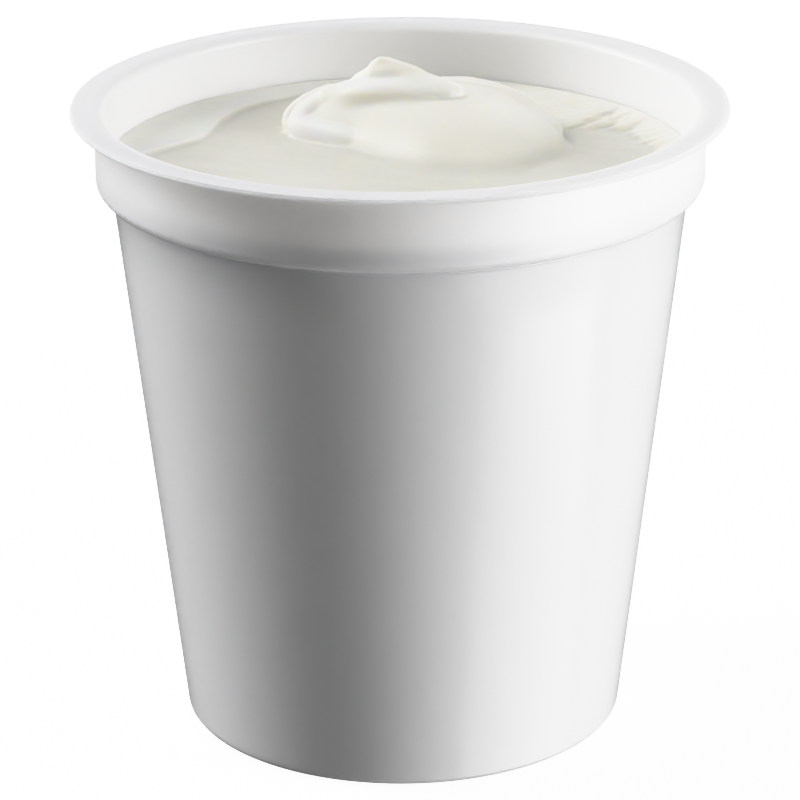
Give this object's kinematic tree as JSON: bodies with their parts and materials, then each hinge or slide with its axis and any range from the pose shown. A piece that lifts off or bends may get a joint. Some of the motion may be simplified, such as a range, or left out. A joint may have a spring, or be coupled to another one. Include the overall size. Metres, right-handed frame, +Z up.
{
  "type": "yogurt pot",
  "caption": "Open single-serve yogurt pot: a tapered round plastic cup with a flanged rim and a stepped collar, filled with yogurt and topped with a spooned dollop.",
  "frame": {"origin": "centre of the foot, on the surface the pot stands on", "axes": "+Z up along the pot's axis; -Y is the front; +X is to the right as seen from the front"},
  "size_m": [0.075, 0.075, 0.0753],
  "materials": {
    "pot_plastic": "smooth moulded, glossy, slightly translucent white",
    "yogurt": "moist, creamy, soft sheen"
  },
  "bodies": {
    "root": {"pot": "pot_plastic", "yogurt_fill": "yogurt", "yogurt_dollop": "yogurt"}
  },
  "joints": []
}
